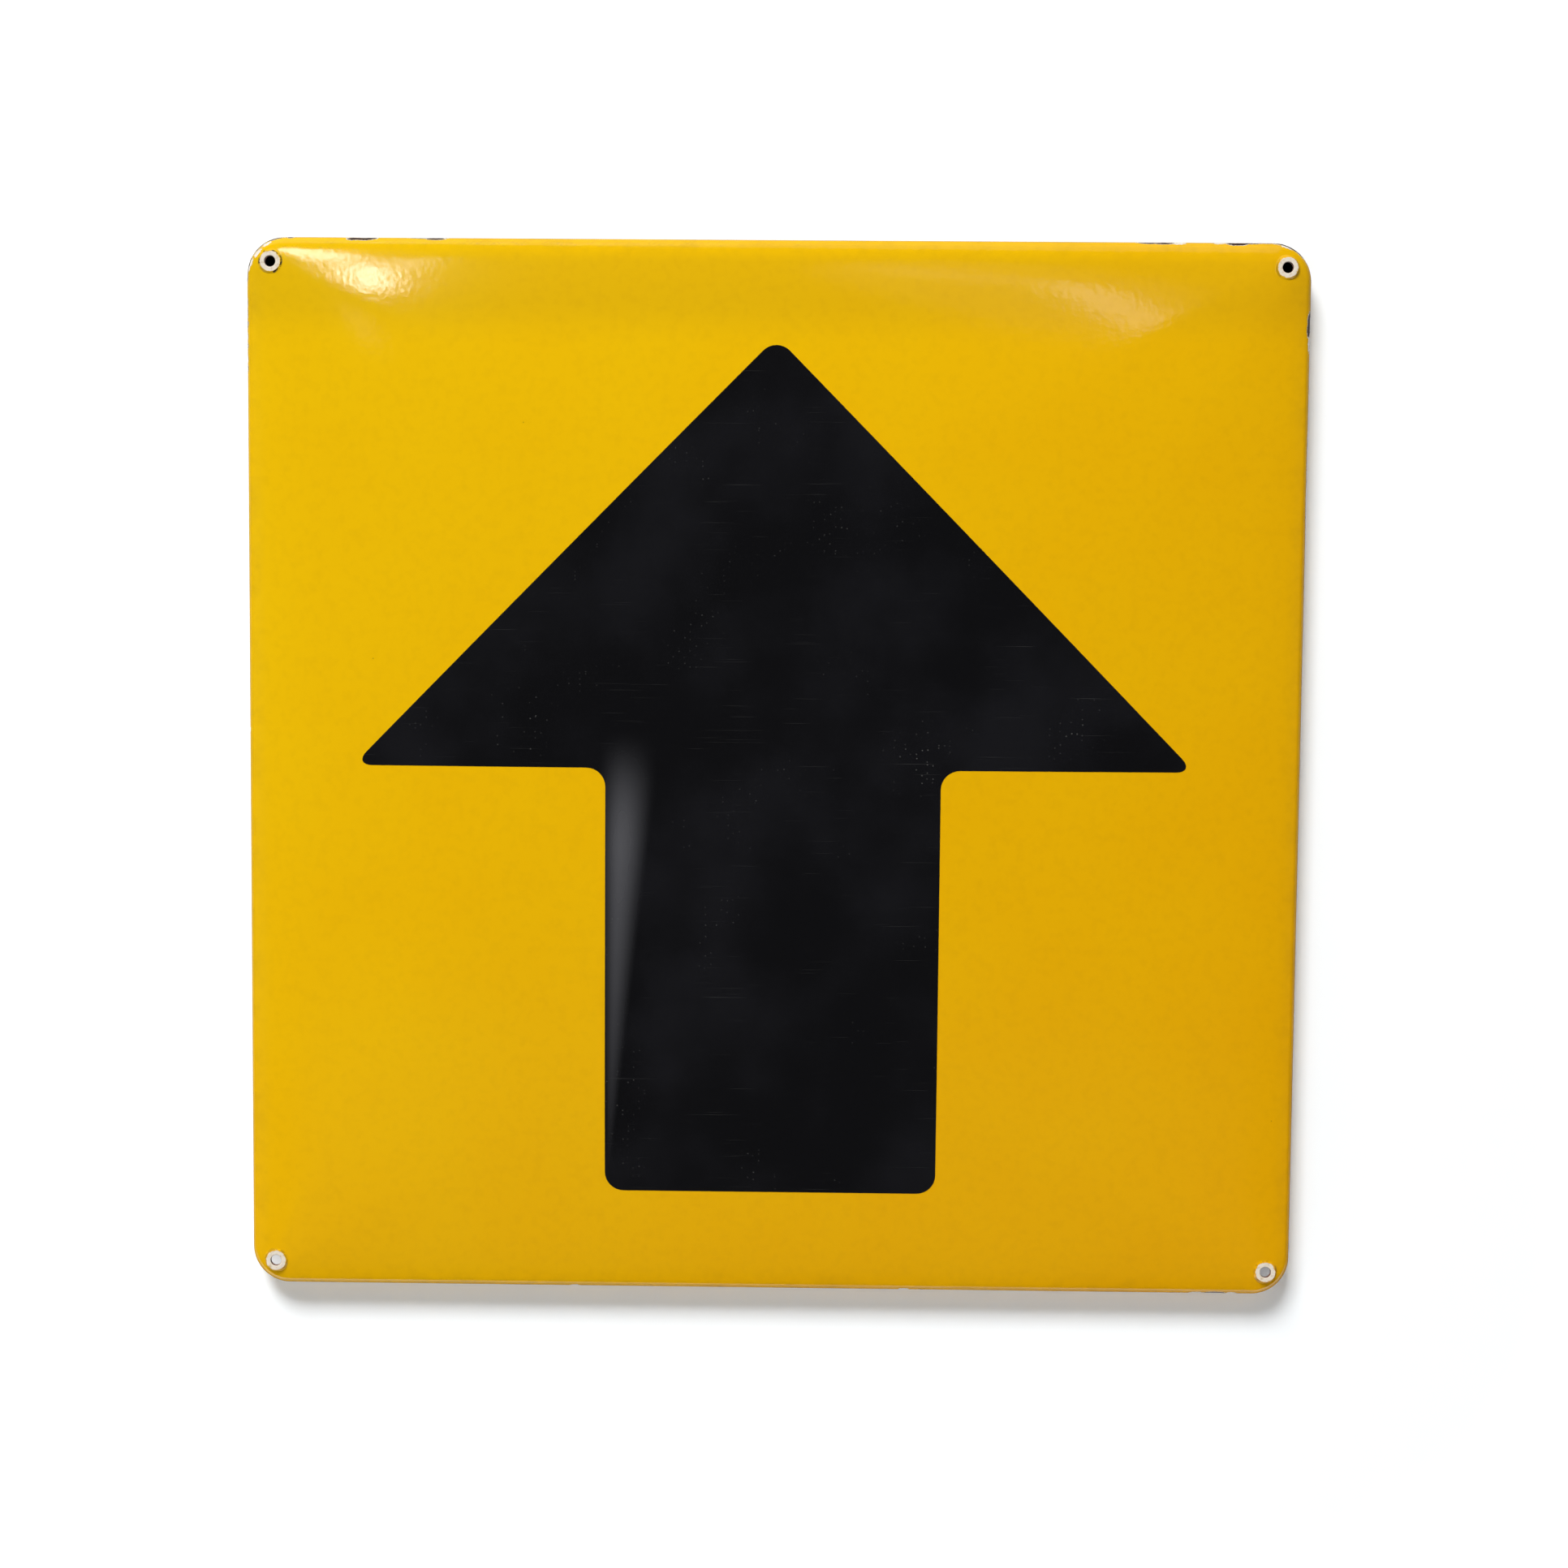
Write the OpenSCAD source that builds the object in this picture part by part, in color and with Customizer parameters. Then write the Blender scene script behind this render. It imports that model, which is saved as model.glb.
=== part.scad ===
// Enamelled steel sign plate: one square sheet, pressed to a shallow pillow, with its edges rolled back to a skirt
// It stands upright as it is fixed: the face looks towards -Y, the open back towards +Y, and +Z is up
// The origin is the middle of the four screw holes, in the plane of the flat seats pressed round them

/* [Plate] */
// Side of the square plate
plate_size = 500; // [400:10:800]
// Thickness of the sheet with its enamel
sheet_t = 1.8; // [1.2:0.1:2.6]
// Radius of the outline's four corners
corner_r = 18; // [14:1:40]
// How far the rim lies behind the seats of the holes
rim_depth = 14; // [11:1:30]
// Radius of the rim's two rounded edges, which leave a flat between them
rim_round = 0.5; // [0.2:0.1:0.5]

/* [Rolled edge] */
// Outer radius of the rolled edge
roll_r = 4; // [3:0.5:7]
// Slope of the face where it meets the rolled edge, in degrees
edge_angle = 16; // [12:1:24]

/* [Pillow] */
// Rise of the pillow from its margin to its middle
dome_rise = 9; // [4:0.5:12]
// Shape of the rise: higher is flatter in the middle and steeper near the margin
dome_power = 2.2; // [2:0.1:2.6]
// Width over which the steep margin eases into the pillow
margin_w = 10; // [6:1:16]
// How fast the face's level lines round off towards the middle, per mm
ring_growth = 0.9; // [0.6:0.1:1.2]

/* [Screw holes] */
// Distance of each hole's centre from the two edges beside it
hole_inset = 12; // [11.5:0.5:15]
// Diameter of the screw holes
hole_d = 5; // [3:0.5:6]
// Diameter of the flat seat round each hole
seat_d = 10; // [9:0.5:11]
// Radius of the seat's rounded shoulder
seat_shoulder = 0.8; // [0.4:0.1:1.2]
// How far the seat stands out of the face on the side towards the middle
seat_proud = 0.3; // [0.1:0.1:0.8]
// Radius of the rounded enamel lip at each hole's mouth
hole_lip = 0.4; // [0.2:0.1:0.6]

/* [Hidden] */
// Facets in one corner of the outline, in the rolled edge, in one rounding of the rim and across the face
corner_steps = 16;
roll_steps = 7;
rim_steps = 3;
face_steps = 17;
// Share of a full circle that the innermost level lines reach
roundest = 0.97;
// Slope of the seat's flank, in degrees
seat_flank = 70;
$fn = 64;

half = plate_size / 2;
hole_r = hole_d / 2;
seat_r = seat_d / 2;
hole_at = half - hole_inset;
// The face begins here, where the rolled edge's arc has turned down to the edge angle
join_d = roll_r * (1 - sin(edge_angle));
face_w = half - join_d;
dome_slope = dome_rise * dome_power / face_w;
margin_fall = margin_w * (tan(edge_angle) - dome_slope);

// Corner radius of the level line that lies d inside the outline: it runs parallel at the rolled edge, then opens out
ring_blend = corner_r - join_d;
function opening(u) = u < 1
    ? 1 - u + (1 + ring_growth) * (pow(u, 3) - pow(u, 4) / 2)
    : (1 + ring_growth) / 2 + ring_growth * (u - 1);
function ring_radius(d) = d <= join_d
    ? corner_r - d
    : min(ring_blend * opening((d - join_d) / ring_blend), roundest * (half - d));

// Distance from the middle to the level line along the plate's diagonal, and the level line at such a distance
function reach(d) = (half - d) * sqrt(2) - ring_radius(d) * (sqrt(2) - 1);
function ring_at(far, near_d, far_d, turns) =
    let (mid = (near_d + far_d) / 2)
    turns == 0 ? mid
    : reach(mid) > far ? ring_at(far, mid, far_d, turns - 1)
    : ring_at(far, near_d, mid, turns - 1);
function ring_from_hole(step) = ring_at(hole_at * sqrt(2) - step, 0, half / 2, 24);

// Depth of the face behind its margin, and its slope, at d inside the outline
function from_middle(d) = max(0, half - d) / face_w;
function fall(d) = -margin_fall * (1 - exp(-(d - join_d) / margin_w))
    - dome_rise * (1 - pow(from_middle(d), dome_power));
function slope(d) = atan(margin_fall / margin_w * exp(-(d - join_d) / margin_w)
    + dome_slope * pow(from_middle(d), dome_power - 1));

// The seats lie at zero, so the face is set back from them by what it falls up to there
face_y = seat_proud - fall(ring_from_hole(seat_r));
roll_y = face_y + roll_r * cos(edge_angle);

// Stations across the section, each with its inset from the outline and its depth
// side is 0 for the front of the sheet and 1 for its back, offset along the sheet's own normal
function on_face(s, side) =
    let (d = join_d + face_w * pow(s, 2), a = slope(d), t = side * sheet_t)
    [d + t * sin(a), face_y + fall(d) + t * cos(a)];
function on_roll(a, side) =
    let (r = roll_r - side * sheet_t)
    [roll_r - r * sin(a), roll_y - r * cos(a)];
function on_rim(a, side) =
    let (in = rim_round * (1 - cos(a)))
    [side * sheet_t + in * (1 - 2 * side), rim_depth - rim_round * (1 - sin(a))];
function roll_angle(i) = edge_angle + (90 - edge_angle) * i / roll_steps;

section = concat(
    [for (i = [face_steps - 1 : -1 : 1]) on_face(i / face_steps, 0)],
    [for (i = [0 : roll_steps]) on_roll(roll_angle(i), 0)],
    [for (i = [0 : rim_steps]) on_rim(90 * i / rim_steps, 0)],
    [for (i = [rim_steps : -1 : 0]) on_rim(90 * i / rim_steps, 1)],
    [for (i = [roll_steps : -1 : 0]) on_roll(roll_angle(i), 1)],
    [for (i = [1 : face_steps - 1]) on_face(i / face_steps, 1)]
);

// One level line: a square with rounded corners, d inside the outline and y deep
function level_line(d, y) =
    let (r = ring_radius(d), c = half - d - r)
    [for (q = [0 : 3], i = [0 : corner_steps])
        let (a = 90 * (q + i / corner_steps), m = 90 * q + 45)
        [sign(cos(m)) * c + r * cos(a), y, sign(sin(m)) * c + r * sin(a)]];

// The sheet: the level lines joined in turn, with a point at the middle of the face and of the back
module sheet() {
    count = 4 * (corner_steps + 1);
    rings = len(section);
    points = concat(
        [for (s = section) each level_line(s[0], s[1])],
        [[0, on_face(1, 0)[1], 0], [0, on_face(1, 1)[1], 0]]
    );
    front = rings * count;
    back = front + 1;
    walls = [for (k = [0 : rings - 2], i = [0 : count - 1])
        let (a = k * count + i, b = k * count + (i + 1) % count)
        each [[a, b, a + count], [b, b + count, a + count]]];
    front_fan = [for (i = [0 : count - 1]) [front, (i + 1) % count, i]];
    back_fan = [for (i = [0 : count - 1])
        let (a = (rings - 1) * count)
        [back, a + i, a + (i + 1) % count]];
    polyhedron(points, concat(walls, front_fan, back_fan));
}

// Where the face lies along the diagonal at the two sides of a seat, and the tilt between them
seat_in_y = face_y + fall(ring_from_hole(seat_r));
seat_out_y = face_y + fall(max(ring_from_hole(-seat_r), join_d));
seat_tilt = atan((seat_out_y - seat_in_y) / seat_d);
seat_root = (seat_in_y + seat_out_y) / 2 + sheet_t / 2;
seat_deep = seat_root + seat_r + seat_shoulder;

// Section of a seat, from its axis: flat top, rounded shoulder, sloping flank
shoulder = [for (i = [0 : 6])
    let (a = seat_flank * i / 6)
    [seat_r + seat_shoulder * sin(a), seat_shoulder * (cos(a) - 1)]];
seat_foot = shoulder[6][0] + (seat_deep + shoulder[6][1]) / tan(seat_flank);
seat_profile = concat([[0, 0]], shoulder, [[seat_foot, -seat_deep], [0, -seat_deep]]);

// Faces -Y at the first corner, with its root cut off inside the tilted sheet
module seat() {
    intersection() {
        rotate([90, 0, 0]) rotate_extrude() polygon(seat_profile);
        rotate([0, -45, 0]) translate([0, seat_root, 0]) rotate([0, 0, seat_tilt])
            translate([-2 * seat_d, -4 * seat_d, -2 * seat_d]) cube(4 * seat_d);
    }
}

// Cutter for one hole: the bore, the rounded lip at its mouth and the hollow behind the seat
hollow_r = seat_r + seat_shoulder - sheet_t;
lip_profile = concat(
    [[0, 1], [hole_r + hole_lip, 1]],
    [for (i = [0 : 6])
        let (a = 90 * i / 6)
        [hole_r + hole_lip * (1 - sin(a)), -hole_lip * (1 - cos(a))]],
    [[0, -hole_lip]]
);

module hole_cut() {
    rotate([-90, 0, 0]) cylinder(h = 2 * rim_depth, r = hole_r);
    rotate([90, 0, 0]) rotate_extrude() polygon(lip_profile);
    translate([0, sheet_t, 0]) rotate([-90, 0, 0]) cylinder(h = rim_depth, r = hollow_r);
}

// Places its children at the four holes, each turned to face its own corner
module at_holes() {
    for (q = [0 : 3]) rotate([0, -90 * q, 0]) translate([hole_at, 0, hole_at]) children();
}

module sign_plate() {
    color([0.88, 0.67, 0.02]) difference() {
        union() {
            sheet();
            at_holes() seat();
        }
        at_holes() hole_cut();
    }
}

sign_plate();
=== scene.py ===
import bpy
import bmesh
import math
from mathutils import Matrix, Quaternion, Vector, noise


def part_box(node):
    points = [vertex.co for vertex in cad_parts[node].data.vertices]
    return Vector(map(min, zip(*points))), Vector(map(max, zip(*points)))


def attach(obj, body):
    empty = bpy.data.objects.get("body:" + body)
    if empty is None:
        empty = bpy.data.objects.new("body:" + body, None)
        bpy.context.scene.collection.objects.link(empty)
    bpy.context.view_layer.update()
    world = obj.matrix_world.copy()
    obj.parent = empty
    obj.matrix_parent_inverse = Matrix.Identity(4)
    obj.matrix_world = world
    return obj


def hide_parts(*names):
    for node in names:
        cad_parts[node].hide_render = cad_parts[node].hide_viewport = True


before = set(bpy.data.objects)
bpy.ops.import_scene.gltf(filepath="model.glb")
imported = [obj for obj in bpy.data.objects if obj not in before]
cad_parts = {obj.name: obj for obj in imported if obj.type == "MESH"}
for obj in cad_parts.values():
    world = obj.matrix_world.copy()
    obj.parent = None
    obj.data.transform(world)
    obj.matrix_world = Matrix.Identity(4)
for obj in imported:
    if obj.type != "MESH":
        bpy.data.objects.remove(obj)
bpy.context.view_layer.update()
print("frame loaded:", sorted(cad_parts))

scene = bpy.context.scene
scene.view_settings.view_transform = "Standard"
mm = 0.001
plateLow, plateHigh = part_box("sign_plate")

plate = {
    "half": plateHigh.x,          # half the side of the square plate
    "frontY": plateLow.y,         # crown of the pillow
    "rimY": plateHigh.y,          # back edge of the skirt
    "sheet": 1.8 * mm,            # steel with its enamel
    "cornerRadius": 18 * mm,
    "rollRadius": 4 * mm,         # outer radius of the rolled edge
    "rollAngle": math.radians(16),  # slope of the face where the roll begins
    "rise": 9 * mm,               # pillow over its margin
    "risePower": 2.2,
    "marginWidth": 10 * mm,       # steep band beside the roll
    "levelGrowth": 0.9,           # how fast the level lines round off inwards
    "roundest": 0.97,
    "underFigure": 0.12 * mm,     # the face lies this far back, so that the black coat reaches the crown
    "waveLength": 75 * mm,        # pressed sheet is never quite fair
    "waveDepth": 0.07 * mm,
    "waveRow": 3.7,               # which row of the noise it follows
    "waveStart": 12 * mm,         # they grow to their full depth over this width
    "cells": 128,                 # grid cells across the face
    "edgeShare": 0.15,            # spacing of the cells at the edge, as a share of the middle's
    "cornerShare": 0.125,         # least part of each level line given to its corner
    "halvings": 26,               # of the search for a level line
    "rollSteps": 8,
    "skirtSteps": 6,
    "rimRound": 0.45 * mm, "rimSteps": 3,
    "smoothBelow": 38,            # degrees, any sharper edge is shaded as one
}

holes = {
    "inset": 12 * mm,             # hole centre from both edges
    "radius": 2.5 * mm,
    "seatRadius": 4.8 * mm,       # flat seat round each hole
    "backRadius": 3.6 * mm,       # the same seat from behind
    "shoulder": 0.9 * mm,         # width over which the seat drops to the face
    "lip": 0.45 * mm,             # rounded mouth of the hole
    "fineZone": 8 * mm,           # the mesh is finer inside this radius
    "sides": 48, "lipSteps": 6,
    "punchFrom": -4 * mm, "punchTo": 6 * mm,
}

# Where the enamel has burst off the rolled edge, down to the steel, or pale where the ground coat is left.
# Each: side, and in mm its middle along it, half its length, its middle round the roll, half its width.
chips = {
    "spots": [
        ("top", -229.0, 1.6, 3.9, 1.2), ("top", -194.5, 6.2, 3.4, 1.9), ("top", -199.5, 2.8, 2.6, 1.1),
        ("top", -160.5, 5.0, 3.5, 1.6), ("top", -167.0, 6.0, 4.2, 1.1), ("top", 174.0, 5.5, 3.8, 1.4),
        ("top", 180.5, 4.8, 3.3, 1.2), ("top", 215.0, 5.2, 3.3, 1.8), ("top", 221.5, 4.4, 3.9, 1.2),
        ("top", 229.0, 6.5, 3.9, 0.7), ("top", 241.0, 8.5, 3.5, 1.1), ("top", -237.0, 4.6, 3.5, 1.1),
        ("top", -246.0, 5.2, 3.4, 1.0), ("top", -255.0, 5.0, 3.5, 1.1), ("left", 234.0, 5.5, 3.7, 1.0),
        ("right", 212.5, 5.0, 3.2, 1.9), ("right", 209.0, 3.2, 2.2, 1.1), ("right", 150.0, 10.0, 4.0, 0.7),
        ("right", 131.0, 11.5, 4.1, 0.7), ("left", 18.0, 1.3, 4.0, 0.9), ("left", 219.0, 2.2, 3.9, 1.0),
        ("left", 214.0, 2.0, 3.8, 1.1), ("left", 209.0, 1.6, 3.6, 1.1), ("left", 203.5, 1.8, 3.9, 0.9),
        ("left", 199.0, 1.3, 3.7, 1.0), ("left", 193.0, 1.7, 3.9, 1.0), ("left", 188.5, 1.4, 3.7, 0.9),
        ("bottom", 214.5, 5.4, 3.5, 1.6),
    ],
    "pale": [
        ("bottom", -94.0, 2.4, 3.5, 1.2), ("bottom", 65.0, 2.8, 3.4, 1.3), ("bottom", 205.5, 3.6, 3.3, 1.3),
        ("bottom", 222.5, 3.0, 3.3, 1.2), ("top", 187.5, 3.4, 2.9, 1.1), ("right", 203.0, 4.4, 3.0, 1.2),
        ("top", 206.5, 3.0, 3.3, 1.0), ("top", 238.0, 3.4, 2.2, 0.9),
        ("top", -241.0, 2.6, 1.4, 0.8), ("top", -248.0, 2.8, 0.9, 0.9),
        ("top", -254.0, 2.2, 1.5, 0.8), ("left", 236.0, 2.4, 2.0, 0.7),
    ],
    "band": 10 * mm,              # only this close to the edge is there any chip
    "depth": 0.22 * mm,           # thickness of the coats that are missing
    "paleShare": 0.5,             # of that, where the ground coat is left
    "wall": (0.1, -0.35),         # mm, over which a chip sinks to its floor
    "near": 1.0,                  # mm, the mesh is finer this close to a chip
    "cuts": ((7, 3.0 * mm), (2, 1.3 * mm)),   # into how many, and the longest edge that is left alone
    "alongside": 0.9,             # only edges that run along the side so nearly are cut
    "far": 9.0,                   # mm, the value away from every chip
}

joinInset = plate["rollRadius"] * (1 - math.sin(plate["rollAngle"]))  # where the roll meets the face
faceWidth = plate["half"] - joinInset
domeSlope = plate["rise"] * plate["risePower"] / faceWidth
marginFall = plate["marginWidth"] * (math.tan(plate["rollAngle"]) - domeSlope)
ringBlend = plate["cornerRadius"] - joinInset
cornerCore = plate["half"] - plate["cornerRadius"]  # centres of the corner arcs
holeCentre = plate["half"] - holes["inset"]


def smoothStep(low, high, value):
    share = min(1.0, max(0.0, (value - low) / (high - low)))
    return share * share * (3 - 2 * share)


def ringRadius(inset):  # corner radius of the level line that runs so far inside the outline
    if inset <= joinInset:
        return plate["cornerRadius"] - inset
    reach = (inset - joinInset) / ringBlend
    growth = plate["levelGrowth"]
    if reach < 1:
        opening = 1 - reach + (1 + growth) * (reach ** 3 - reach ** 4 / 2)
    else:
        opening = (1 + growth) / 2 + growth * (reach - 1)
    return min(ringBlend * opening, plate["roundest"] * (plate["half"] - inset))


def levelRise(inset):  # how far the face has come forward of its join with the roll
    past = max(0.0, inset - joinInset)
    share = max(0.0, plate["half"] - inset) / faceWidth
    margin = marginFall * (1 - math.exp(-past / plate["marginWidth"]))
    return margin + plate["rise"] * (1 - share ** plate["risePower"])


joinY = plate["frontY"] + levelRise(plate["half"])
rollY = joinY + plate["rollRadius"] * math.cos(plate["rollAngle"])


def levelInset(x, z):  # which level line runs through a point of the face
    low, high = joinInset, plate["half"]
    for halving in range(plate["halvings"]):
        inset = (low + high) / 2
        radius = ringRadius(inset)
        core = plate["half"] - inset - radius
        outX, outZ = abs(x) - core, abs(z) - core
        reach = math.hypot(max(outX, 0), max(outZ, 0)) + min(max(outX, outZ), 0)
        if reach > radius:
            high = inset
        else:
            low = inset
    return low


def faceDepth(x, z, under=0.0):  # y of the face, with the slight waves of a pressed sheet
    inset = levelInset(x, z)
    away = smoothStep(joinInset, joinInset + plate["waveStart"], inset)
    wave = noise.noise(Vector((x, plate["waveRow"], z)) / plate["waveLength"]) * 0.5 + 0.5
    return joinY - levelRise(inset) + away * (under + wave * plate["waveDepth"])


def levelPoint(u, v):  # a square grid from -1 to 1 is drawn onto the level lines
    across, side = max(abs(u), abs(v)), min(abs(u), abs(v))
    if across < 1e-6:
        return Vector((0, 0, 0))
    turn = 1 - across
    inset = joinInset + faceWidth * (plate["edgeShare"] * turn + (1 - plate["edgeShare"]) * turn ** 2)
    radius = ringRadius(inset)
    core = plate["half"] - inset - radius
    straight = min(core / (core + radius * math.pi / 4), 1 - plate["cornerShare"])
    place = side / across
    if place <= straight:
        far, near = core + radius, core * place / straight
    else:
        angle = (place - straight) / (1 - straight) * math.pi / 4
        far, near = core + radius * math.cos(angle), core + radius * math.sin(angle)
    x, z = (far, near) if abs(u) >= abs(v) else (near, far)
    return Vector((math.copysign(x, u), 0, math.copysign(z, v)))


def cornerBase(x, z):  # the point of the inner square that an edge point is measured from
    return Vector((min(cornerCore, max(-cornerCore, x)), 0, min(cornerCore, max(-cornerCore, z))))


def holeDistance(x, z):
    return math.hypot(abs(x) - holeCentre, abs(z) - holeCentre)


sideAxes = {"top": (0, 1), "right": (1, 0), "bottom": (0, -1), "left": (-1, 0)}


def edgePlace(co, side):  # mm along a side, and mm round the roll from where the face ends
    base = cornerBase(co.x, co.z)
    out = Vector((co.x - base.x, co.z - base.z))
    axis = Vector(sideAxes[side])
    along = Vector((abs(axis.y), abs(axis.x)))  # to the right on top and bottom, up on the sides
    baseAlong = base.x * along.x + base.z * along.y
    turned = math.atan2(out.dot(along), max(out.dot(axis), 1e-9))
    inset = plate["cornerRadius"] - out.length
    if inset > joinInset:
        around = -(inset - joinInset)
    elif co.y < rollY:
        angle = math.atan2(plate["rollRadius"] - inset, rollY - co.y)
        around = plate["rollRadius"] * (angle - plate["rollAngle"])
    else:
        around = plate["rollRadius"] * (math.pi / 2 - plate["rollAngle"]) + co.y - rollY
    return (baseAlong + turned * plate["cornerRadius"]) / mm, around / mm


def besideEdge(co):  # close enough to it for a chip
    return max(abs(co.x), abs(co.z)) > plate["half"] - chips["band"]


def chipDistance(co, spots):  # mm outside the nearest chip, negative inside it
    nearest = chips["far"]
    for side, middle, halfLength, height, halfWidth in spots:
        axis = sideAxes[side]
        if co.x * axis[0] + co.z * axis[1] < cornerCore:
            continue
        along, around = edgePlace(co, side)
        reach = math.hypot((along - middle) / halfLength, (around - height) / halfWidth)
        nearest = min(nearest, (reach - 1) * min(halfLength, halfWidth))
    return nearest


def hexColour(text):  # sRGB hex to linear
    parts = [int(text[i:i + 2], 16) / 255 for i in (1, 3, 5)]
    return tuple(p / 12.92 if p <= 0.04045 else ((p + 0.055) / 1.055) ** 2.4 for p in parts) + (1.0,)


smooth = {"interpolation_type": "SMOOTHSTEP"}


# A kind may have its operation after a dot. Sockets go by place, or by name, among those in use. A text is
# a hex colour.
def addNode(tree, kind, inputs=(), output=0, **settings):
    kind, dot, mode = kind.partition(".")
    made = tree.nodes.new("ShaderNode" + kind)
    if dot:
        setattr(made, "data_type" if kind == "Mix" else "operation", mode)
    for name, value in settings.items():
        setattr(made, name, value)
    for name, value in (inputs.items() if isinstance(inputs, dict) else enumerate(inputs)):
        used = [s for s in made.inputs if s.enabled]
        socket = used[name] if isinstance(name, int) else [s for s in used if s.name == name][0]
        if isinstance(value, bpy.types.NodeSocket):
            tree.links.new(value, socket)
        else:
            socket.default_value = hexColour(value) if isinstance(value, str) else value
    found = [s for s in made.outputs if s.enabled]
    if not found:
        return made
    return found[output] if isinstance(output, int) else [s for s in found if s.name == output][0]


def startMaterial(name):  # with its object coordinates in mm
    material = bpy.data.materials.new(name)
    material.use_nodes = True
    tree = material.node_tree
    tree.nodes.clear()
    metres = addNode(tree, "TexCoord", output="Object")
    return material, tree, addNode(tree, "VectorMath.SCALE", {"Vector": metres, "Scale": 1 / mm})


def cornerOffset(tree, place, across):  # in x and z, from the nearest of four points so far to each side
    corner = addNode(tree, "VectorMath.ABSOLUTE", (place,))
    offset = addNode(tree, "VectorMath.SUBTRACT", (corner, (across, 0, across)))
    return addNode(tree, "VectorMath.MULTIPLY", (offset, (1, 0, 1)))


def vectorLength(tree, offset):
    return addNode(tree, "VectorMath.LENGTH", (offset,), output="Value")


def orangePeel(tree, place, glaze):  # mm, the ripple of fired glass on its slow swell
    peel = addNode(tree, "TexNoise", {"Vector": place, "Scale": 1 / glaze["peel"], "Detail": 1.0})
    swell = addNode(tree, "TexNoise", {"Vector": place, "Scale": 1 / glaze["swell"], "Detail": 1.0})
    ripple = addNode(tree, "Math.MULTIPLY", (peel, glaze["peelDepth"]))
    return addNode(tree, "Math.MULTIPLY_ADD", (swell, glaze["swellDepth"], ripple))


glassIor = 1.5


def finishGlass(tree, coat, roughness, height):  # the height of its relief is in mm
    relief = addNode(tree, "Bump", {"Height": height, "Distance": mm, "Strength": 1.0})
    glass = addNode(tree, "BsdfPrincipled", {"Base Color": coat, "Roughness": roughness, "IOR": glassIor,
                                             "Normal": relief})
    addNode(tree, "OutputMaterial", {"Surface": glass})


# Sizes are in mm. A range with four numbers leads from the first two to the last two.
yellow = {
    "light": "#E8B905", "deep": "#E3A501", "shadow": "#B98A10",
    "cloud": 95, "cloudWeight": 0.5,   # slow changes in the thickness of the coat
    "paintedLightRange": (-450.0, 450.0, -0.25, 0.75),   # painted light: the coat grows lighter from the lower right to the upper left
    "grain": 4.5, "grainRange": (0.45, 0.75, 0.0, 0.10),   # faint mottling
    # dirt, and the same colour for the painted shade on the upper slope
    "soilAndShade": "#4A3A1C", "soilPatch": 14, "soilPatchRange": (0.4, 0.7),
    "marginSoil": (238.0, 250.0, 0.0, 0.10),   # out from the middle, to the share of dirt
    "skirtSoil": (5.0, 14.0, 0.0, 0.35),       # back from the seats
    "shadeFoot": (198.0, 222.0, 0.0, 0.12),     # painted shade up the upper slope, which leans back to the light
    "shadeTop": (246.0, 238.0),
    "pit": 45, "pitRange": (0.013, 0.006, 0.0, 0.8),   # one in about each 45 mm, in shares of that
    "ring": "#E4D9C8", "ringEdge": 4.7, "ringSoft": 0.15,
    "ragged": 1.6, "raggedReach": 0.6,
    "ringStain": "#C5AC86", "stainRange": (0.5, 0.75),
    "lineIn": (4.75, 4.95), "lineOut": (6.0, 5.4),   # from the middle of the hole
    "linePatch": 4.2, "linePatchRange": (0.5, 0.56), "lineSide": (380.0, 460.0, 0.35, 1.0),
    "steel": "#2A2321", "rust": "#5B3B27", "rustRange": (0.45, 0.65), "ground": "#E2DCD0",
    "crumble": 1.1, "crumbleReach": 0.9,   # how ragged a chip is
    "haloWidth": 0.25, "haloSoft": 0.1, "steelSoft": 0.08,   # pale ground coat round a chip
    "roughness": 0.08, "wornRough": 0.28, "soilRough": 0.1, "steelRough": 0.4,
    "peel": 3.0, "peelDepth": 0.032,   # orange peel of the fired glass
    "swell": 28, "swellDepth": 0.012,
    "wornStep": -0.08,            # where the yellow is gone
}


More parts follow.
